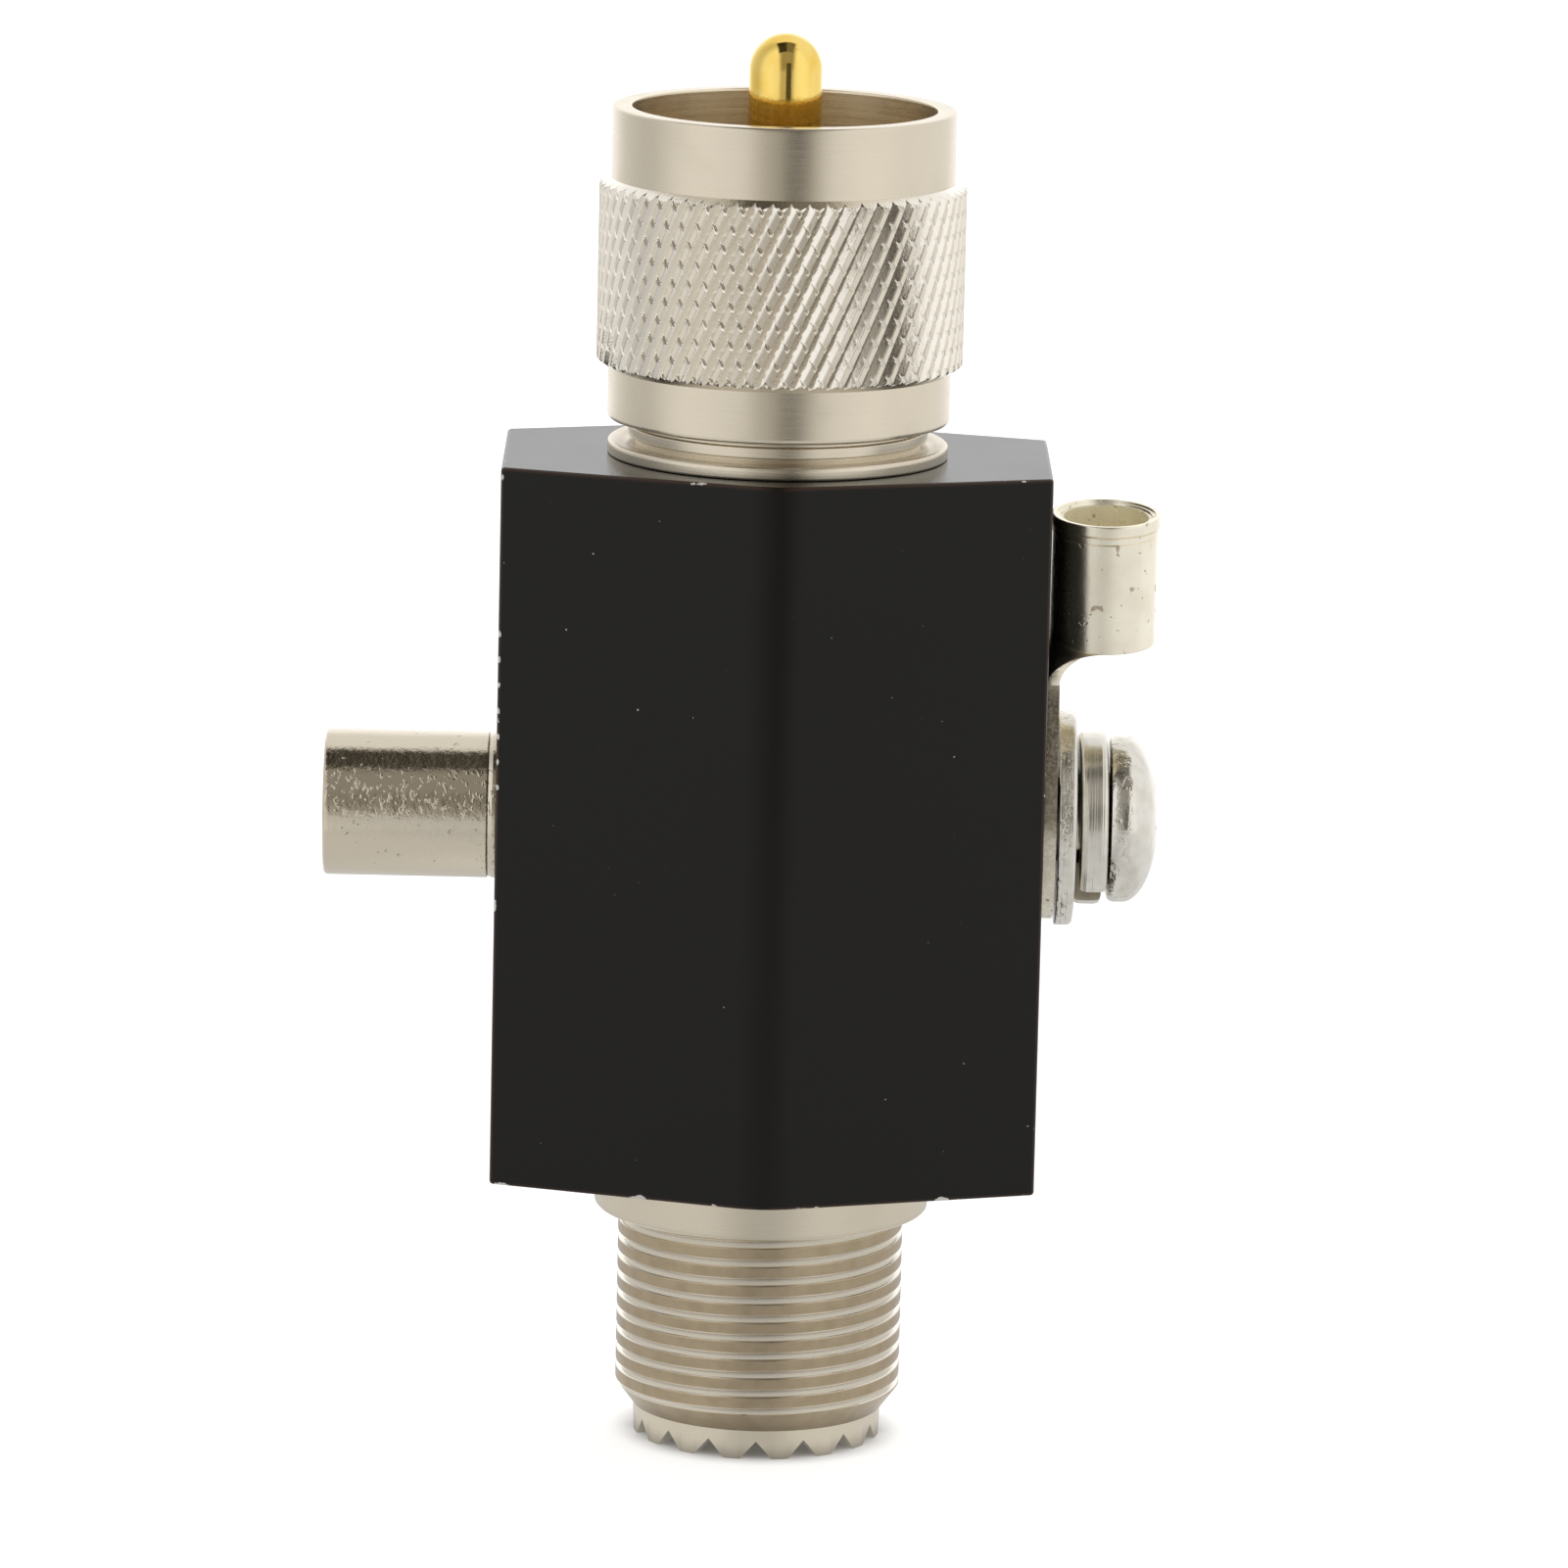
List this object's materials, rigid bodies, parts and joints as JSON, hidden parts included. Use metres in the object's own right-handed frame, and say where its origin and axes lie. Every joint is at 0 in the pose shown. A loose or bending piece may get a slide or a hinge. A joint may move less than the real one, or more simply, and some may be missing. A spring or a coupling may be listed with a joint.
{
  "type": "coaxial lightning arrestor",
  "caption": "Inline coaxial lightning arrestor: ridged black block with a knurled-nut plug above, a threaded socket below, a gas tube under a side cap and a ground lug.",
  "frame": {"origin": "on the axis of the line, in the plane of the socket's tooth tips, where the mouth of its contact lies", "axes": "+Z along the line from the socket up to the plug, +X towards the ground terminal, -Y towards the front ridge"},
  "size_m": [0.0461, 0.0228, 0.0785],
  "materials": {
    "black_anodised": "satin black anodised, chipped at the edges",
    "nickel_plate": "satin nickel plate",
    "gold_plate": "polished gold plate",
    "white_insulator": "plain moulded",
    "white_ceramic": "matt",
    "spring_steel": "drawn wire",
    "tinned_copper": "tin plate, slightly pitted",
    "zinc_steel": "zinc plate"
  },
  "bodies": {
    "arrestor_body": {"body_block": "black_anodised", "plug_body": "nickel_plate", "nut_retaining_ring": "spring_steel", "plug_insulator": "white_insulator", "centre_pin": "gold_plate", "line_conductor": "nickel_plate", "socket_shell": "nickel_plate", "socket_insulator": "white_insulator", "socket_contact": "gold_plate"},
    "coupling_nut": {"coupling_nut": "nickel_plate"},
    "gas_tube": {"gas_tube_ceramic": "white_ceramic", "inner_electrode": "nickel_plate", "outer_electrode": "nickel_plate", "contact_spring": "spring_steel"},
    "gas_tube_cap": {"gas_tube_cap": "nickel_plate"},
    "ground_lug": {"ground_lug": "tinned_copper"},
    "screw_washers": {"flat_washer": "zinc_steel", "spring_washer": "zinc_steel"},
    "ground_screw": {"ground_screw": "zinc_steel"}
  },
  "joints": [
    {"name": "nut_spin", "type": "hinge", "parent": "arrestor_body", "child": "coupling_nut", "pos_m": [0, 0, 0.066], "axis": [0, 0, 1], "continuous": true},
    {"name": "gas_tube_travel", "type": "slide", "parent": "arrestor_body", "child": "gas_tube", "axis": [-1, 0, 0], "range_m": [0, 0.006]},
    {"name": "cap_turn", "type": "hinge", "parent": "gas_tube", "child": "gas_tube_cap", "pos_m": [-0.02, 0, 0.0353], "axis": [-1, 0, 0], "range_deg": [0, 2880]},
    {"name": "lug_turn", "type": "hinge", "parent": "arrestor_body", "child": "ground_lug", "pos_m": [0.015, 0, 0.0353], "axis": [1, 0, 0], "range_deg": [-180, 180]},
    {"name": "screw_travel", "type": "slide", "parent": "arrestor_body", "child": "screw_washers", "axis": [1, 0, 0], "range_m": [0, 0.006]},
    {"name": "screw_turn", "type": "hinge", "parent": "screw_washers", "child": "ground_screw", "pos_m": [0.02, 0, 0.0353], "axis": [1, 0, 0], "range_deg": [0, 2700]}
  ],
  "couplings": [
    {"joint": "cap_turn", "follows": "gas_tube_travel", "rad_per_m": 8377.6},
    {"joint": "screw_turn", "follows": "screw_travel", "rad_per_m": 7854}
  ]
}
